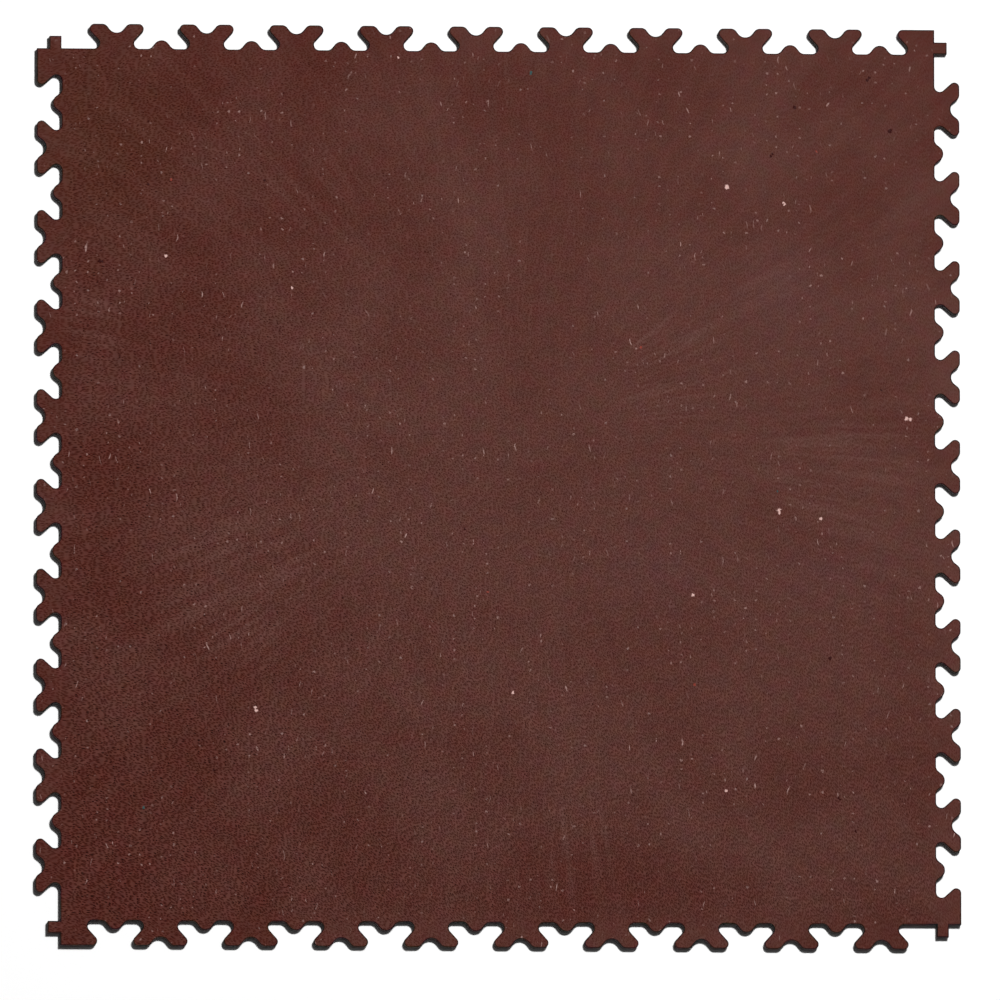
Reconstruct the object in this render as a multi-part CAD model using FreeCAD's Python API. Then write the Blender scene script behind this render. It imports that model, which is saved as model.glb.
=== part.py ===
import FreeCAD, Part
import math
import os

# Interlocking floor tile, in millimetres: a flat moulded slab of PVC with dovetail teeth along its
# four sides. One side's joint line is turned in quarter steps, so any tile joins any other at any
# side. +Z is up, the wear surface is on top, and the origin is the middle of the underside.

# Laid tile
TOOTH_PITCH = 50.0
TEETH_PER_SIDE = 10       # with the corner tooth, which ends square
THICKNESS = 7.0
JOINT_GAP = 0.2           # between the walls of two laid tiles

# Dovetail tooth
TOOTH_DEPTH = 13.9        # from root to tip
TIP_WIDTH = 37.5          # between the tip's corners, before they are rounded
TOOTH_RADIUS = 2.9        # at the corners of the tip and of the root

# Nib at the bottom of each socket, which fills the scoop in the tip of the neighbour's tooth
NIB_HEIGHT = 4.9
NIB_RADIUS = 4.8          # of its round top
NIB_FLANK_ANGLE = 38.5    # degrees, from the nib's own axis

# A side starts at one corner of the body and its corner tooth ends at the next.
LAID_SIZE = TOOTH_PITCH * TEETH_PER_SIDE
BODY_SIZE = LAID_SIZE - TOOTH_DEPTH
FULL_TEETH = TEETH_PER_SIDE - 1

# Half a pitch between the teeth of opposite sides makes the tile fit its own copy one laid size away.
FIRST_TOOTH = (1.5 * TOOTH_PITCH - TOOTH_DEPTH) / 2
CORNER_TOOTH = FIRST_TOOTH + FULL_TEETH * TOOTH_PITCH

# What a tooth leaves of the pitch is the neck of the next tile's tooth.
TIP_HALF = TIP_WIDTH / 2
NECK_HALF = (TOOTH_PITCH - TIP_WIDTH) / 2

# The nib's flanks would meet above its round top.
NIB_SLOPE = math.radians(NIB_FLANK_ANGLE)
NIB_APEX = NIB_HEIGHT + NIB_RADIUS * (1 / math.sin(NIB_SLOPE) - 1)
NIB_FOOT_HALF = NIB_APEX * math.tan(NIB_SLOPE)

# The corner tabs of four tiles fill the square that their corner teeth leave open.
TAB_SIZE = TOOTH_DEPTH / 2


def corner_tab():
    """Corners of the tab that stands on the end of the corner tooth before this side."""
    return [(-TAB_SIZE, 0, 0), (-TAB_SIZE, TAB_SIZE, 0), (0, TAB_SIZE, 0), (0, 0, 0)]


def nib(middle, base, rise):
    """Corners of a nib on the line at the height base. It rises outwards, or sinks as a scoop."""
    return [
        (middle - NIB_FOOT_HALF, base, 0),
        (middle, base + rise, NIB_RADIUS),
        (middle + NIB_FOOT_HALF, base, 0),
    ]


def tooth(middle):
    """Corners of a full tooth, from its left root over the scooped tip to its right root."""
    left = [(middle - NECK_HALF, 0, TOOTH_RADIUS), (middle - TIP_HALF, TOOTH_DEPTH, TOOTH_RADIUS)]
    right = [(middle + TIP_HALF, TOOTH_DEPTH, TOOTH_RADIUS), (middle + NECK_HALF, 0, TOOTH_RADIUS)]
    return left + nib(middle, TOOTH_DEPTH, -NIB_APEX) + right


def corner_tooth():
    """Corners of the last tooth, cut off square at the end of the body."""
    return [
        (CORNER_TOOTH - NECK_HALF, 0, TOOTH_RADIUS),
        (CORNER_TOOTH - TIP_HALF, TOOTH_DEPTH, TOOTH_RADIUS),
        (BODY_SIZE, TOOTH_DEPTH, 0),
    ]


def side_corners():
    """Corners of one side's joint line as (along the side, outwards, radius)."""
    corners = corner_tab()
    for index in range(FULL_TEETH):
        middle = FIRST_TOOTH + index * TOOTH_PITCH
        corners += tooth(middle)
        corners += nib(middle + TOOTH_PITCH / 2, 0, NIB_APEX)
    return corners + corner_tooth()


def tile_corners():
    """Corners of the whole joint line, clockwise from the body's back left corner."""
    corners = []
    for turn in range(4):
        quarter = FreeCAD.Rotation(FreeCAD.Vector(0, 0, 1), -90 * turn)
        for along, out, radius in side_corners():
            point = FreeCAD.Vector(along - BODY_SIZE / 2, BODY_SIZE / 2 + out, 0)
            corners.append((quarter.multVec(point), radius))
    return corners


def rounded_wire(corners):
    """Closed wire through the corners, with a tangent arc at each corner that has a radius."""
    points = [point for point, radius in corners]
    count = len(points)
    ahead = [(points[(i + 1) % count] - points[i]).normalize() for i in range(count)]
    length = [(points[(i + 1) % count] - points[i]).Length for i in range(count)]
    half_turn = [ahead[i - 1].getAngle(ahead[i]) / 2 for i in range(count)]
    reach = [corners[i][1] * math.tan(half_turn[i]) for i in range(count)]

    # Two arcs that share a straight are kept within it.
    share = [min(1, length[i] / max(reach[i] + reach[(i + 1) % count], 1e-9)) for i in range(count)]
    reach = [reach[i] * min(share[i - 1], share[i]) for i in range(count)]

    edges = []
    for i in range(count):
        start = points[i] - ahead[i - 1] * reach[i]
        end = points[i] + ahead[i] * reach[i]
        if reach[i] > 0:
            towards_centre = (ahead[i] - ahead[i - 1]).normalize()
            radius = reach[i] / math.tan(half_turn[i])
            middle = points[i] + towards_centre * (radius / math.cos(half_turn[i]) - radius)
            edges.append(Part.Arc(start, middle, end).toShape())
        following = (i + 1) % count
        next_start = points[following] - ahead[i] * reach[following]
        if end.distanceToPoint(next_start) > 1e-6:
            edges.append(Part.LineSegment(end, next_start).toShape())
    return Part.Wire(edges)


def floor_tile():
    joint_line = Part.Face(rounded_wire(tile_corners()))
    outline = joint_line.makeOffset2D(-JOINT_GAP / 2, join=2)
    return outline.extrude(FreeCAD.Vector(0, 0, THICKNESS))


os.makedirs("parts", exist_ok=True)
tile = floor_tile()
tile.exportStep("parts/floor_tile.step")
print("floor_tile", tile.BoundBox, "volume", round(tile.Volume), "valid", tile.isValid(), tile.ShapeType)
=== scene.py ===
import math

import bpy
import bmesh
from mathutils import Matrix, Vector


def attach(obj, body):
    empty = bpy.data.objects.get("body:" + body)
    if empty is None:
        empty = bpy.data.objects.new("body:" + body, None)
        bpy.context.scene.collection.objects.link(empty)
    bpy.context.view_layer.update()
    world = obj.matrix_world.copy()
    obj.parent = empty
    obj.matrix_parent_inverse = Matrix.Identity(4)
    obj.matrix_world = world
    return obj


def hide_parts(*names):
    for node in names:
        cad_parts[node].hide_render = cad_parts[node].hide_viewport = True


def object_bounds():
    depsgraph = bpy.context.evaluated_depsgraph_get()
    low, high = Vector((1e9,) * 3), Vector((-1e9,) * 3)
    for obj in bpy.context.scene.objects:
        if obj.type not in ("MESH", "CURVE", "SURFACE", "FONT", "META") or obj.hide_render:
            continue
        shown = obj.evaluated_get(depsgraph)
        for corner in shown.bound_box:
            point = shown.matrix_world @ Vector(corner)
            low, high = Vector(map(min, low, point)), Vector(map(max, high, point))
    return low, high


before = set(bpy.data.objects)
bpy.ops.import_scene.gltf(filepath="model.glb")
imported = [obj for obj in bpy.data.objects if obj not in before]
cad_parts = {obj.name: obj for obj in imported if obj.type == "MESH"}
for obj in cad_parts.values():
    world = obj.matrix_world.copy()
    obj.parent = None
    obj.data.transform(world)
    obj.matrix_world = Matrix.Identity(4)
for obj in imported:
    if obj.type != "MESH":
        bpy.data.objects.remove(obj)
CAD_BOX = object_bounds()

# An interlocking PVC floor tile that lies flat on a white floor, seen from nearly straight above.
# Everything is in metres, in the frame of the CAD model: +Z up, the floor at z = 0.

MM = 0.001
TOP = CAD_BOX[1].z
TOOTH_TIPS = CAD_BOX[1].x

# Nearly all values of a noise lie in this span, round this middle
NOISE_SPAN = (0.3, 0.7)
NOISE_MIDDLE = (0.5, 0.5, 0.5)

# The colour sockets of a Mix node have the names of its other sockets, so they go by number
MIX_FIRST = 6
MIX_SECOND = 7
MIX_RESULT = 2

# The wear surface and the underside are divided along these lines, so that no face of theirs runs
# across the whole tile. The lines all meet straight walls.
GRID_PITCH = 50 * MM
GRID_REACH = 4                  # lines on each side of the middle one
GRID_LINES = [step * GRID_PITCH for step in range(-GRID_REACH, GRID_REACH + 1)]

# Rounding of the moulded solid
WEAR_RIM = 0.8 * MM             # round the wear surface
UNDER_RIM = 0.3 * MM            # round the underside
TAB_CORNER = 0.3 * MM           # on the upright edges of the corner tabs
NIB_ROUNDING = 1.6 * MM         # at a nib's foot and a scoop's mouth, along each wall

# Faces across each round
WEAR_STEPS = 3
UNDER_STEPS = 2
TAB_STEPS = 2
NIB_STEPS = 4

# Turns between two faces, in degrees, by which the edges of the solid are told apart
NIB_TURN = (45, 60)             # from wall to wall at a nib's foot or a scoop's mouth
TAB_TURN = (80, 100)            # from wall to wall at a corner tab
RIM_TURN = 80                   # from a wall to a flat face, at least
FLAT_TURN = 0.5                 # between faces that are one flat, at most
SMOOTH_TURN = 50                # between faces that are shaded as one surface, at most

MERGE_DISTANCE = 0.001 * MM
IN_LINE = 0.01 * MM             # points this near a line or a height are taken to lie on it

# Leather grain of the wear surface: rows of small pits, with painted shade in them and painted highlight
# on the ridges. It is shallower on the teeth, and drawn out at the left.
GRAIN_CELL = 1.1 * MM
GRAIN_RAGGED = 0.88             # 0 for a regular pattern and 1 for a random one
GRAIN_DEPTH = 0.21 * MM
GRAIN_RIM = (TOP - WEAR_RIM / 2, TOP - WEAR_RIM / 10)   # heights where it begins and is full
GRAIN_EDGE = (TOOTH_TIPS - 24 * MM, TOOTH_TIPS - 8 * MM)    # where it fades towards a side
TEETH_GRAIN = 0.6               # share of the depth that is left past that edge
GRAIN_SLOPE = (-1.3, -1.5, 0)   # per metre: it stands out more towards the left and the front
GRAIN_BOW = (1.0, 1.0, 0)       # per metre: the pits get longer towards the left, and their rows level
GRAIN_LEAN = (-0.1, 0.5, 0)     # the rows of pits run down to the right
GRAIN_SQUEEZE = (0, -0.9, 0)    # per metre: the rows are closer together at the left
GRAIN_WARP = (6 * MM, 1.4 * MM)     # size and reach of the waves in the rows
PIT = (0.05, 0.50)              # a pit's height rises between these shares of a cell from its middle
PIT_SHADE = (0.04, 0.45)        # and its painted shade and highlight between these
PIT_SHADE_AND_HIGHLIGHT = (-1.7, 0.95)        # painted shade in the pits and painted highlight on the ridges
GRAIN_LIGHT_PATCH = 2.6 * MM           # size of the spots where the painted shade and highlight are stronger or fainter
GRAIN_LIGHT_PATCHES = (0.4, 1.2)
GRAIN_LIGHT_SHARE = (0.155, 0.235, 0.26)   # what a painted light of 1 adds to each colour, as a share of it
DEEP_PITS = (0.8, 1.0)          # pits with a random value above the first of these get deeper painted shade
DEEP_CORE = (0.4, 0.1)          # shares of a cell from their middle, where that begins and is full
DEEP_PIT_SHADE = -3.5                # what that adds to the painted light
DARKEST_PIT_SHADE = (0.12, 0.12, 0.12)    # share of each colour that is left under the darkest painted shade in a pit

# The melt entered the mould here, and its streaks run out from it. They show most in patches,
# given as (x, y, radius, strength), in millimetres.
GATE = (15 * MM, 31 * MM, TOP)
STREAK_PATCHES = [
    (95, 68, 50, 1.0), (189, 10, 65, 0.8), (145, 114, 35, 0.7), (-143, -60, 75, 0.8),
    (34, -202, 45, 0.9), (-98, 159, 50, 0.5), (-226, 87, 30, 0.8),
]
STREAK_BASE = 0.24              # their strength outside the patches
PATCH_CORE = 0.3                # share of a patch's radius with its full strength
STREAK_START = (22 * MM, 50 * MM)   # from the gate, where they begin to show and where they are full
STREAK_TURNS = 34               # how fine they are round the gate
STREAK_LENGTHS = 16             # and how short they are on the way out, per metre
STREAK_CUT = (0.42, 0.70)       # noise below and above these is bare and full streak
STREAK_SHARE = 0.36             # of their own colour

# Painted shade: the walls are painted near black. It begins and is full this far from the wear surface and
# the underside, so that the rim's round carries a thin painted dark outline
WALL_SHADE_START = 0.01 * MM
WALL_SHADE_FULL = 0.08 * MM

# The plastic is painted paler and greyer round this point, a painted sheen, and less and less out to the
# second distance
SHEEN_MIDDLE = (90 * MM, -15 * MM, TOP)
SHEEN_REACH = (80 * MM, 420 * MM)

# PVC colours, as linear light
RED_BROWN = (0.0715, 0.0130, 0.0073, 1)
# paler, greyer brown that is mixed in as painted sheen
SHEEN_BROWN = (0.0905, 0.0277, 0.0204, 1)
STREAK_BROWN = (0.1400, 0.0620, 0.0500, 1)
OLIVE_BROWN = (0.0660, 0.0165, 0.0060, 1)
DEEP_RED = (0.0730, 0.0118, 0.0070, 1)
LILAC_BROWN = (0.0925, 0.0300, 0.0275, 1)
# painted shade: the near-black brown that the walls are painted with
WALL_SHADE_BROWN = (0.0240, 0.0070, 0.0055)

# The mottle shifts how much painted sheen the plastic has, and the tints shift its hue
MOTTLE_SIZE = 60 * MM
MOTTLE_SHIFT = 0.25
TINT_SIZE = 8 * MM
TINT_SHARE = 0.11
MID_GREY = (0.5, 0.5, 0.5, 1)

# Clouds of another tint, as (colour, x, y, radius across, radius along), in millimetres
CLOUD_SHARE = 0.5
CLOUDS = [
    (OLIVE_BROWN, -222, 190, 70, 85),
    (DEEP_RED, -215, -215, 95, 60),
    (DEEP_RED, 50, -225, 120, 40),
    (LILAC_BROWN, 88, -48, 42, 38),
    (LILAC_BROWN, 158, 112, 40, 45),
    (LILAC_BROWN, 186, -46, 60, 26),
]

# Fibres and crumbs of other plastic. Most cells of a pattern hold one, and they show in clusters.
STREWN_SHARE = 0.8              # of the cells
CLUSTER_SIZE = 45 * MM
CLUSTER_CUT = (0.38, 0.62)      # noise below and above these is between the clusters and in them
CLUSTER_SHOWN = (0.12, 1.1)     # share of a mark that shows between them and in them
SOFT_EDGE = 0.35                # share of a mark's radius over which it fades
FIBRE_SPACING = 4.6 * MM
FIBRE_RADIUS = 0.38 * MM
FIBRE_STRETCH = 6
FIBRE_WARP = (7 * MM, 4 * MM)
FIBRE_SHOWN = (0.08, 0.36)      # share of their own colour in the faintest and the strongest
CRUMB_SPACING = 6 * MM
CRUMB_RADIUS = 0.8 * MM
CRUMB_SHOWN = (0.04, 0.24)      # the same for the pale crumbs
DARK_CRUMBS = (0.91, 0.92)      # crumbs with a random value above these are dark
DARK_SHOWN = 0.7                # and for the dark ones
RAGGED_WARP = (1.3 * MM, 1.1 * MM)  # size and reach of the breaks in the edges of crumbs and flecks

# A fleck is one round, or two side by side where it is longer than this times its width
LONG_FLECK = 1.75
FLECK_EDGE = (1.2, 0.7)         # shares of a round's radius, where it begins and is full
FAR = 10.0                      # a place this many radii away is clear of any round

# Flecks of other plastic, as (x, y, length, width, turn), in millimetres and degrees
BONE = (0.66, 0.42, 0.38, 1)
BONE_FLECKS = [
    (127, 168, 3.4, 2.6, 60), (159, 159, 2.6, 1.3, 120), (228, 39, 4.2, 2.1, 170),
    (156, -13, 3.6, 2.0, 95), (179, -17, 1.7, 1.6, 0), (108, -60, 2.0, 1.6, 40),
    (-135, -125, 3.8, 1.9, 105), (-185, 127, 2.4, 1.8, 70), (-115, 110, 2.0, 1.3, 130),
    (126, -169, 2.1, 1.6, 20), (-56, 239, 1.7, 1.3, 90), (8, -115, 2.0, 1.4, 0),
]
CHAR = (0.0300, 0.0010, 0.0005, 1)
CHAR_FLECKS = [
    (-221, 124, 3.2, 1.8, 0), (-40, -159, 2.3, 1.7, 80), (184, -95, 2.6, 1.9, 10),
    (-158, -159, 2.6, 1.5, 40), (-130, 170, 2.0, 1.4, 120), (213, 55, 2.1, 1.6, 90),
    (206, 229, 3.4, 1.6, 45), (165, 213, 2.8, 2.2, 60), (218, 200, 3.6, 2.4, 110),
    (152, 186, 2.8, 1.3, 50), (189, -173, 2.6, 1.3, 135), (198, -191, 2.4, 1.6, 150),
    (-175, -209, 2.4, 1.4, 120), (-19, -24, 1.8, 1.5, 0), (-195, 167, 2.4, 1.4, 160),
]
RED = (0.26, 0.045, 0.030, 1)
RED_FLECKS = [
    (177, 188, 1.8, 1.3, 30), (79, 78, 1.8, 1.5, 90), (-6, -59, 1.8, 1.4, 60),
    (109, -110, 2.0, 1.5, 0), (-182, 170, 2.2, 1.6, 90),
]
TEAL = (0.030, 0.075, 0.075, 1)
TEAL_FLECKS = [
    (18, 231, 2.4, 1.9, 40), (-197, -180, 2.0, 1.6, 90), (155, -2, 2.1, 1.4, 110),
]

# Gloss of the plastic
PVC_ROUGHNESS = (0.85, 0.66)    # in the pits and on the ridges
PVC_SPECULAR = 0.13

# Camera: its aim on the wear surface, its lean from straight above and the frame's width there
CAMERA_AIM = Vector((0.66 * MM, -7.74 * MM, TOP))
CAMERA_LEAN = math.radians(7)
CAMERA_TURN = math.radians(31)     # from the front towards the left
CAMERA_ROLL = math.radians(-0.016)
CAMERA_DISTANCE = 12.0
FRAME_WIDTH = 554.6 * MM
SENSOR_WIDTH = 36.0
CAMERA_SIGHT = 100.0            # how far it sees

# Studio light. The key lamp stands over the corner that the camera leans away from.
# Each lamp is given as (lean from straight above, watts, width).
LAMP_HEIGHT = 4.0
KEY_LAMP = (math.radians(13), 170, 0.35)
TOP_LAMP = (math.radians(10), 6, 2.2)
WORLD_LIGHT = 0.035

# White floor, which is dark to every ray but the camera's and its reflections
FLOOR_SIZE = 12
FLOOR_GLOW = 0.01               # of its own, so that it comes out pure white
FLOOR_GREY = (0.1, 0.1, 0.1, 1)
WHITE = (1, 1, 1, 1)


class Shader:
    """The nodes of one material. Inputs may be numbers, colours or the sockets of other nodes."""

    def __init__(self, name):
        self.material = bpy.data.materials.new(name)
        self.material.use_nodes = True
        self.tree = self.material.node_tree
        self.surface = self.tree.nodes["Principled BSDF"]
        self.place = self.node("ShaderNodeTexCoord").outputs["Object"]

    def node(self, kind, inputs=None, **settings):
        made = self.tree.nodes.new(kind)
        for name, value in settings.items():
            setattr(made, name, value)
        for name, value in (inputs or {}).items():
            self.feed(made.inputs[name], value)
        return made

    def feed(self, socket, value):
        if isinstance(value, bpy.types.NodeSocket):
            self.tree.links.new(value, socket)
        else:
            socket.default_value = value

    def calc(self, operation, first, second=0.0):
        return self.node("ShaderNodeMath", {0: first, 1: second}, operation=operation).outputs[0]

    def vector(self, operation, first, second=(0, 0, 0), third=(0, 0, 0)):
        made = self.node("ShaderNodeVectorMath", {0: first, 1: second, 2: third}, operation=operation)
        return made.outputs["Value" if operation in ("LENGTH", "DISTANCE", "DOT_PRODUCT") else "Vector"]

    def scaled(self, vector, factor):
        made = self.node("ShaderNodeVectorMath", {0: vector, "Scale": factor}, operation="SCALE")
        return made.outputs["Vector"]

    def ramp(self, value, low, high, start=0.0, end=1.0):
        """A smooth step from start to end as the value goes from low to high."""
        inputs = {"Value": value, "From Min": low, "From Max": high, "To Min": start, "To Max": end}
        return self.node("ShaderNodeMapRange", inputs, interpolation_type="SMOOTHSTEP").outputs["Result"]

    def mix(self, share, first, second):
        made = self.node("ShaderNodeMix", data_type="RGBA")
        self.feed(made.inputs["Factor"], share)
        self.feed(made.inputs[MIX_FIRST], first)
        self.feed(made.inputs[MIX_SECOND], second)
        return made.outputs[MIX_RESULT]

    def noise(self, place, size, detail=1.0, output="Fac", dimensions="2D"):
        inputs = {"Vector": place, "Scale": 1 / size, "Detail": detail}
        return self.node("ShaderNodeTexNoise", inputs, noise_dimensions=dimensions).outputs[output]

    def cells(self, place, size, randomness=1.0):
        inputs = {"Vector": place, "Scale": 1 / size, "Randomness": randomness}
        return self.node("ShaderNodeTexVoronoi", inputs, voronoi_dimensions="2D")

    def warped(self, size, amount):
        """Object coordinates pushed about by noise of that size."""
        noise = self.noise(self.place, size, detail=0, output="Color")
        push = self.vector("SUBTRACT", noise, NOISE_MIDDLE)
        return self.vector("ADD", self.place, self.scaled(push, amount))


def grain_share(shader):
    """How deep the grain is, and how strong its painted shade and highlight: 0 on the walls, less on the
    teeth, most at the front left.
    """
    place = shader.node("ShaderNodeSeparateXYZ", {"Vector": shader.place}).outputs
    above = shader.ramp(place["Z"], *GRAIN_RIM)
    across, along = (shader.calc("ABSOLUTE", place[axis]) for axis in "XY")
    inner = shader.ramp(shader.calc("MAXIMUM", across, along), *GRAIN_EDGE, 1.0, TEETH_GRAIN)
    slope = shader.calc("ADD", shader.vector("DOT_PRODUCT", shader.place, GRAIN_SLOPE), 1.0)
    return shader.calc("MULTIPLY", shader.calc("MULTIPLY", above, inner), slope)


def leather_grain(shader):
    """The height of the grain, from 0 to 1, and its painted light: painted shade in the pits and painted
    highlight on the ridges.
    """
    across = shader.vector("DOT_PRODUCT", shader.place, (1, 0, 0))
    lean = shader.vector("MULTIPLY_ADD", shader.place, GRAIN_SQUEEZE, GRAIN_LEAN)
    slant = shader.vector("MULTIPLY_ADD", across, GRAIN_BOW, lean)
    rows = shader.vector("MULTIPLY_ADD", across, slant, shader.warped(*GRAIN_WARP))
    pits = shader.cells(rows, GRAIN_CELL, randomness=GRAIN_RAGGED).outputs
    from_middle = pits["Distance"]
    height = shader.ramp(from_middle, *PIT)
    spots = shader.noise(shader.place, GRAIN_LIGHT_PATCH, detail=0)
    patchy = shader.ramp(spots, *NOISE_SPAN, *GRAIN_LIGHT_PATCHES)
    painted_grain_light = shader.calc("MULTIPLY", shader.ramp(from_middle, *PIT_SHADE, *PIT_SHADE_AND_HIGHLIGHT), patchy)
    chance = shader.node("ShaderNodeSeparateColor", {"Color": pits["Color"]}).outputs["Red"]
    deep = shader.calc("MULTIPLY", shader.ramp(chance, *DEEP_PITS), shader.ramp(from_middle, *DEEP_CORE))
    return height, shader.calc("ADD", painted_grain_light, shader.calc("MULTIPLY", deep, DEEP_PIT_SHADE))


def flow_streaks(shader):
    """Pale streaks that run out from the gate: faint all over, and strong in the patches."""
    out = shader.vector("SUBTRACT", shader.place, GATE)
    reach = shader.vector("LENGTH", out)
    heading = shader.vector("NORMALIZE", out)
    lengths = shader.calc("MULTIPLY", reach, STREAK_LENGTHS)
    along = shader.node("ShaderNodeCombineXYZ", {"Z": lengths}).outputs[0]
    spread = shader.vector("ADD", shader.scaled(heading, STREAK_TURNS), along)
    streaks = shader.ramp(shader.noise(spread, 1.0, detail=2, dimensions="3D"), *STREAK_CUT)
    patches = STREAK_BASE
    for x, y, radius, strength in STREAK_PATCHES:
        away = shader.vector("DISTANCE", shader.place, (x * MM, y * MM, TOP))
        patch = shader.ramp(away, radius * MM, PATCH_CORE * radius * MM, 0, strength)
        patches = shader.calc("MAXIMUM", patches, patch)
    shown = shader.calc("MULTIPLY", patches, shader.ramp(reach, *STREAK_START))
    return shader.calc("MULTIPLY", streaks, shown)


def scattered(shader, place, spacing, radius):
    """Small marks strewn in most of the cells, each of its own size, and a random value for each."""
    cell = shader.cells(place, spacing)
    chance = shader.node("ShaderNodeSeparateColor", {"Color": cell.outputs["Color"]}).outputs
    size = shader.node("ShaderNodeMapRange", {
        "Value": chance["Red"], "From Min": 1 - STREWN_SHARE, "From Max": 1.0, "To Max": radius / spacing,
    }).outputs["Result"]
    inside = shader.calc("SUBTRACT", size, cell.outputs["Distance"])
    return shader.ramp(inside, 0.0, SOFT_EDGE * radius / spacing), chance["Green"]


def fibres(shader, colour, clusters):
    """Lays short pale fibres over a colour, most of them upright."""
    upright = shader.vector("MULTIPLY", shader.warped(*FIBRE_WARP), (1, 1 / FIBRE_STRETCH, 1))
    fibre, chance = scattered(shader, upright, FIBRE_SPACING, FIBRE_RADIUS)
    shown = shader.calc("MULTIPLY", clusters, shader.ramp(chance, 0.0, 1.0, *FIBRE_SHOWN))
    return shader.mix(shader.calc("MULTIPLY", fibre, shown), colour, BONE)


def crumbs(shader, colour, ragged, clusters):
    """Lays crumbs over a colour: most are pale, and a few are dark."""
    crumb, chance = scattered(shader, ragged, CRUMB_SPACING, CRUMB_RADIUS)
    pale = shader.calc("MULTIPLY", clusters, shader.ramp(chance, 0.0, 0.9, *CRUMB_SHOWN))
    dark = shader.ramp(chance, *DARK_CRUMBS, 0.0, DARK_SHOWN)
    shown = shader.calc("MAXIMUM", pale, dark)
    return shader.mix(shader.calc("MULTIPLY", crumb, shown), colour, shader.mix(dark, BONE, CHAR))


def fleck_rounds(x, y, length, width, turn):
    """A fleck as one round, or as two side by side where it is long: (centre, radius)."""
    reach = (length - width) / 2 if length > LONG_FLECK * width else 0
    step = Vector((math.cos(math.radians(turn)), math.sin(math.radians(turn)), 0)) * reach * MM
    centre = Vector((x * MM, y * MM, TOP))
    ends = (centre - step, centre + step) if reach else (centre,)
    return [(end, width / 2 * MM) for end in ends]


def flecks(shader, place, listed):
    """1 on the flecks of a list and 0 beside them."""
    nearest = FAR
    for fleck in listed:
        for centre, radius in fleck_rounds(*fleck):
            away = shader.calc("DIVIDE", shader.vector("DISTANCE", place, centre), radius)
            nearest = shader.calc("MINIMUM", nearest, away)
    return shader.ramp(nearest, *FLECK_EDGE)


def clouds(shader, colour):
    """Lays the clouds of another tint over a colour."""
    for tint, x, y, across, along in CLOUDS:
        out = shader.vector("SUBTRACT", shader.place, (x * MM, y * MM, TOP))
        local = shader.vector("MULTIPLY", out, (1 / (across * MM), 1 / (along * MM), 0))
        share = shader.ramp(shader.vector("LENGTH", local), 1.0, 0.0, 0.0, CLOUD_SHARE)
        colour = shader.mix(share, colour, tint)
    return colour


def body_colour(shader, tints):
    """The colour of the plastic: paler and greyer at the right with a painted sheen, redder at the left,
    and mottled.

    A tint of mid grey leaves it as it is.
    """
    # Painted sheen, strongest round a point right of the middle
    sheen = shader.ramp(shader.vector("DISTANCE", shader.place, SHEEN_MIDDLE), *SHEEN_REACH, 1.0, 0.0)
    mottle = shader.noise(shader.place, MOTTLE_SIZE, detail=2)
    sheen = shader.calc("ADD", sheen, shader.ramp(mottle, *NOISE_SPAN, -MOTTLE_SHIFT, MOTTLE_SHIFT))
    sheen = shader.node("ShaderNodeClamp", {"Value": sheen}).outputs[0]
    colour = clouds(shader, shader.mix(sheen, RED_BROWN, SHEEN_BROWN))
    doubled = shader.scaled(shader.mix(TINT_SHARE, MID_GREY, tints), 2.0)
    return shader.vector("MULTIPLY", colour, doubled)


def wall_shade_share(shader):
    """1 where the walls are painted with shade, and 0 on the wear surface and the underside."""
    above_floor = shader.node("ShaderNodeSeparateXYZ", {"Vector": shader.place}).outputs["Z"]
    below_top = shader.ramp(above_floor, TOP - WALL_SHADE_START, TOP - WALL_SHADE_FULL)
    return shader.calc("MULTIPLY", below_top, shader.ramp(above_floor, WALL_SHADE_START, WALL_SHADE_FULL))


def painted_wall_shade(shader, tints):
    """Painted shade on the smooth walls: a near-black brown, a little mottled."""
    return shader.vector("MULTIPLY", shader.scaled(tints, 2.0), WALL_SHADE_BROWN)


def pvc():
    """Recycled PVC: mottled red-brown with a painted sheen, flow streaks, leather grain with painted shade
    and highlight, fibres, crumbs, flecks, and walls painted dark as painted shade.
    """
    shader = Shader("recycled_pvc")
    grain = grain_share(shader)
    height, painted_grain_light = leather_grain(shader)

    tints = shader.noise(shader.place, TINT_SIZE, detail=0, output="Color")
    colour = body_colour(shader, tints)
    colour = shader.mix(shader.calc("MULTIPLY", flow_streaks(shader), STREAK_SHARE), colour, STREAK_BROWN)

    clusters = shader.ramp(shader.noise(shader.place, CLUSTER_SIZE), *CLUSTER_CUT, *CLUSTER_SHOWN)
    ragged = shader.warped(*RAGGED_WARP)
    colour = fibres(shader, colour, clusters)
    colour = crumbs(shader, colour, ragged, clusters)

    # Painted shade in the grain's pits and painted highlight on its ridges, as strong as the grain is deep
    change = shader.vector("MULTIPLY", shader.calc("MULTIPLY", painted_grain_light, grain), GRAIN_LIGHT_SHARE)
    share = shader.vector("MAXIMUM", shader.vector("ADD", change, (1, 1, 1)), DARKEST_PIT_SHADE)
    colour = shader.vector("MULTIPLY", colour, share)
    kinds = ((BONE, BONE_FLECKS), (CHAR, CHAR_FLECKS), (RED, RED_FLECKS), (TEAL, TEAL_FLECKS))
    for tint, listed in kinds:
        colour = shader.mix(flecks(shader, ragged, listed), colour, tint)

    # The walls and the edge of the rim's round are painted near black, as painted shade
    colour = shader.mix(wall_shade_share(shader), colour, painted_wall_shade(shader, tints))

    bump = shader.node("ShaderNodeBump", {"Height": height, "Strength": grain, "Distance": GRAIN_DEPTH})
    shader.feed(shader.surface.inputs["Base Color"], colour)
    shader.feed(shader.surface.inputs["Normal"], bump.outputs["Normal"])
    shader.feed(shader.surface.inputs["Roughness"], shader.ramp(height, 0, 1, *PVC_ROUGHNESS))
    shader.feed(shader.surface.inputs["Specular IOR Level"], PVC_SPECULAR)
    return shader.material


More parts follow.
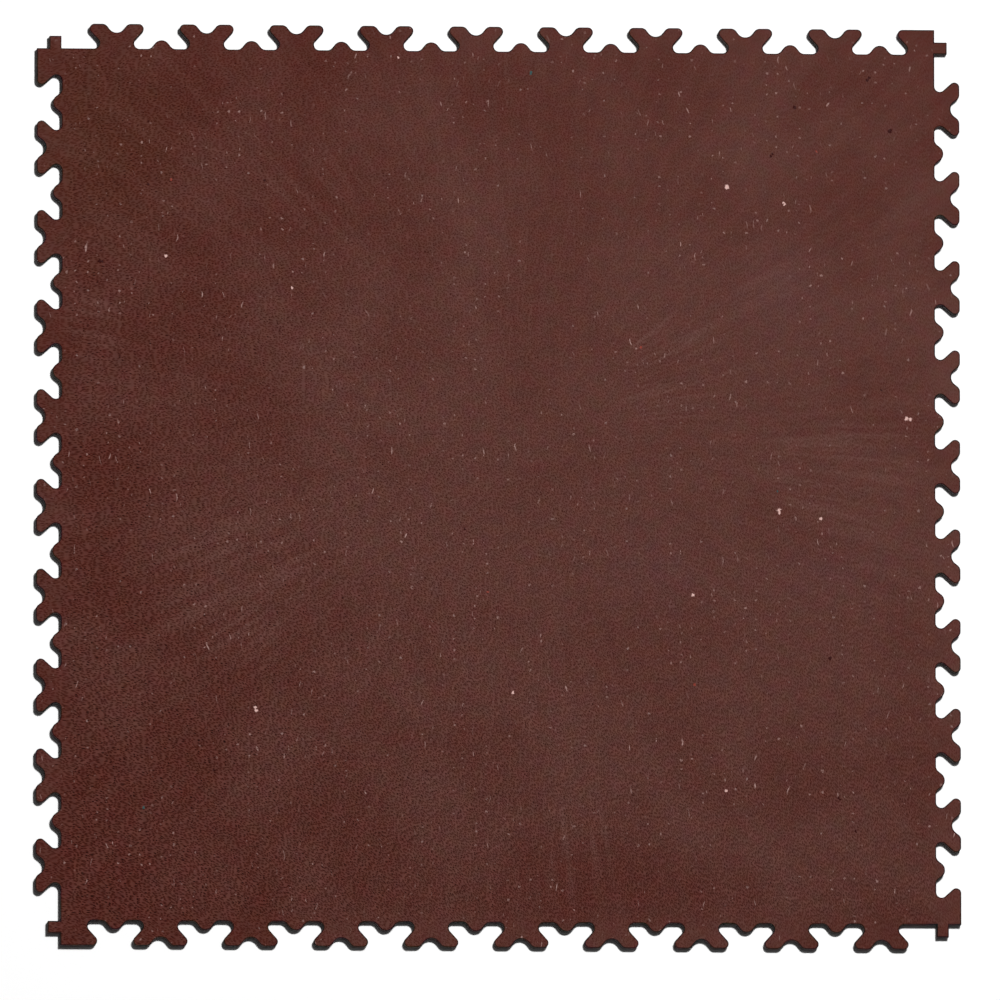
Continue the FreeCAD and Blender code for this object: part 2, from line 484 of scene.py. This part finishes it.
def floor_white():
    """White to the camera, and dark to every other ray, so that little light bounces to the walls."""
    shader = Shader("floor_white")
    path = shader.node("ShaderNodeLightPath").outputs
    seen = shader.calc("MAXIMUM", path["Is Camera Ray"], path["Is Glossy Ray"])
    seen = shader.calc("MAXIMUM", seen, path["Is Transmission Ray"])
    shader.feed(shader.surface.inputs["Base Color"], shader.mix(seen, FLOOR_GREY, WHITE))
    shader.feed(shader.surface.inputs["Roughness"], 1.0)
    shader.feed(shader.surface.inputs["Specular IOR Level"], 0.0)
    shader.feed(shader.surface.inputs["Emission Color"], WHITE)
    shader.feed(shader.surface.inputs["Emission Strength"], shader.calc("MULTIPLY", seen, FLOOR_GLOW))
    return shader.material


def select_only(piece):
    bpy.ops.object.select_all(action="DESELECT")
    piece.select_set(True)
    bpy.context.view_layer.objects.active = piece


def bevel_edges(piece, wanted, width, segments):
    """Rounds the edges that wanted() accepts, in edit mode."""
    mesh = bmesh.from_edit_mesh(piece.data)
    for edge in mesh.edges:
        edge.select_set(wanted(edge))
    bmesh.update_edit_mesh(piece.data)
    bpy.ops.mesh.bevel(offset=width, segments=segments, profile=0.5, clamp_overlap=True)


def upright_turn(edge):
    """Degrees between the two walls at an upright edge, or 0 at any other edge."""
    low, high = edge.verts
    upright = (low.co - high.co).to_2d().length < IN_LINE
    return math.degrees(edge.calc_face_angle(0)) if upright else 0


def is_nib_corner(edge):
    return NIB_TURN[0] < upright_turn(edge) < NIB_TURN[1]


def is_tab_corner(edge):
    return TAB_TURN[0] < upright_turn(edge) < TAB_TURN[1]


def is_rim(edge, height):
    """True where a wall meets the flat face at that height."""
    level = all(abs(vertex.co.z - height) < IN_LINE for vertex in edge.verts)
    return level and math.degrees(edge.calc_face_angle(0)) > RIM_TURN


def moulded_tile(node):
    """A merged copy of the CAD tile with rounded nib feet, tab corners and rims."""
    piece = node.copy()
    piece.data = node.data.copy()
    piece.name = "moulded_tile"
    bpy.context.scene.collection.objects.link(piece)
    piece.parent = None
    select_only(piece)
    bpy.ops.object.mode_set(mode="EDIT")
    bpy.ops.mesh.select_mode(type="EDGE")
    bpy.ops.mesh.select_all(action="SELECT")
    bpy.ops.mesh.remove_doubles(threshold=MERGE_DISTANCE)
    bpy.ops.mesh.dissolve_limited(angle_limit=math.radians(FLAT_TURN))
    for line in GRID_LINES:
        for across in ((1, 0, 0), (0, 1, 0)):
            bpy.ops.mesh.select_all(action="SELECT")
            bpy.ops.mesh.bisect(plane_co=Vector(across) * line, plane_no=across)
    bevel_edges(piece, is_nib_corner, NIB_ROUNDING, NIB_STEPS)
    bevel_edges(piece, lambda edge: is_rim(edge, TOP), WEAR_RIM, WEAR_STEPS)
    bevel_edges(piece, lambda edge: is_rim(edge, 0), UNDER_RIM, UNDER_STEPS)
    bevel_edges(piece, is_tab_corner, TAB_CORNER, TAB_STEPS)
    bpy.ops.object.mode_set(mode="OBJECT")
    bpy.ops.object.shade_smooth_by_angle(angle=math.radians(SMOOTH_TURN))
    bpy.ops.object.modifier_add(type="WEIGHTED_NORMAL")
    bpy.ops.object.modifier_apply(modifier=piece.modifiers[-1].name)
    piece.data.materials.clear()
    piece.data.materials.append(pvc())
    return piece


def lay_floor():
    bpy.ops.object.select_all(action="DESELECT")
    bpy.ops.mesh.primitive_plane_add(size=FLOOR_SIZE, location=(0, 0, 0))
    floor = bpy.context.active_object
    floor.name = "floor"
    floor.data.materials.append(floor_white())


def add_lamp(name, lean, watts, width):
    """A round lamp that leans that far from straight above, away from the camera, and aims at the tile."""
    lamp = bpy.data.lights.new(name, "AREA")
    lamp.shape = "DISK"
    lamp.energy = watts
    lamp.size = width
    holder = bpy.data.objects.new(name, lamp)
    side = Vector((math.sin(CAMERA_TURN), math.cos(CAMERA_TURN), 0)) * math.tan(lean)
    holder.location = (side + Vector((0, 0, 1))) * LAMP_HEIGHT
    holder.rotation_euler = holder.location.to_track_quat("Z", "Y").to_euler()
    bpy.context.scene.collection.objects.link(holder)


def light_studio():
    """Two lamps over the tile, and a world that is white to the camera and dim to all else."""
    add_lamp("key_lamp", *KEY_LAMP)
    add_lamp("top_lamp", *TOP_LAMP)
    world = bpy.data.worlds.new("studio")
    bpy.context.scene.world = world
    world.use_nodes = True
    nodes, links = world.node_tree.nodes, world.node_tree.links
    background = nodes["Background"]
    path = nodes.new("ShaderNodeLightPath")
    strength = nodes.new("ShaderNodeMapRange")
    strength.inputs["To Min"].default_value = WORLD_LIGHT
    strength.inputs["To Max"].default_value = 1.0
    links.new(path.outputs["Is Camera Ray"], strength.inputs["Value"])
    links.new(strength.outputs["Result"], background.inputs["Strength"])
    background.inputs["Color"].default_value = WHITE


def set_camera():
    """A far camera that leans a little from straight above, so that the tile shows nearly square."""
    camera = bpy.data.cameras.new("camera")
    holder = bpy.data.objects.new("camera", camera)
    bpy.context.scene.collection.objects.link(holder)
    aside = Vector((-math.sin(CAMERA_TURN), -math.cos(CAMERA_TURN), 0)) * math.sin(CAMERA_LEAN)
    back = aside + Vector((0, 0, math.cos(CAMERA_LEAN)))
    holder.location = CAMERA_AIM + back * CAMERA_DISTANCE
    level = Vector((0, 1, 0)).cross(back).normalized()
    right = level * math.cos(CAMERA_ROLL) + back.cross(level) * math.sin(CAMERA_ROLL)
    holder.rotation_euler = Matrix((right, back.cross(right), back)).transposed().to_euler()
    camera.sensor_width = SENSOR_WIDTH
    camera.lens = SENSOR_WIDTH * CAMERA_DISTANCE / FRAME_WIDTH
    camera.clip_end = CAMERA_SIGHT
    bpy.context.scene.camera = holder


tile = moulded_tile(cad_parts["floor_tile"])
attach(tile, "root")
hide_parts("floor_tile")

lay_floor()
light_studio()
set_camera()
bpy.context.scene.view_settings.view_transform = "Standard"
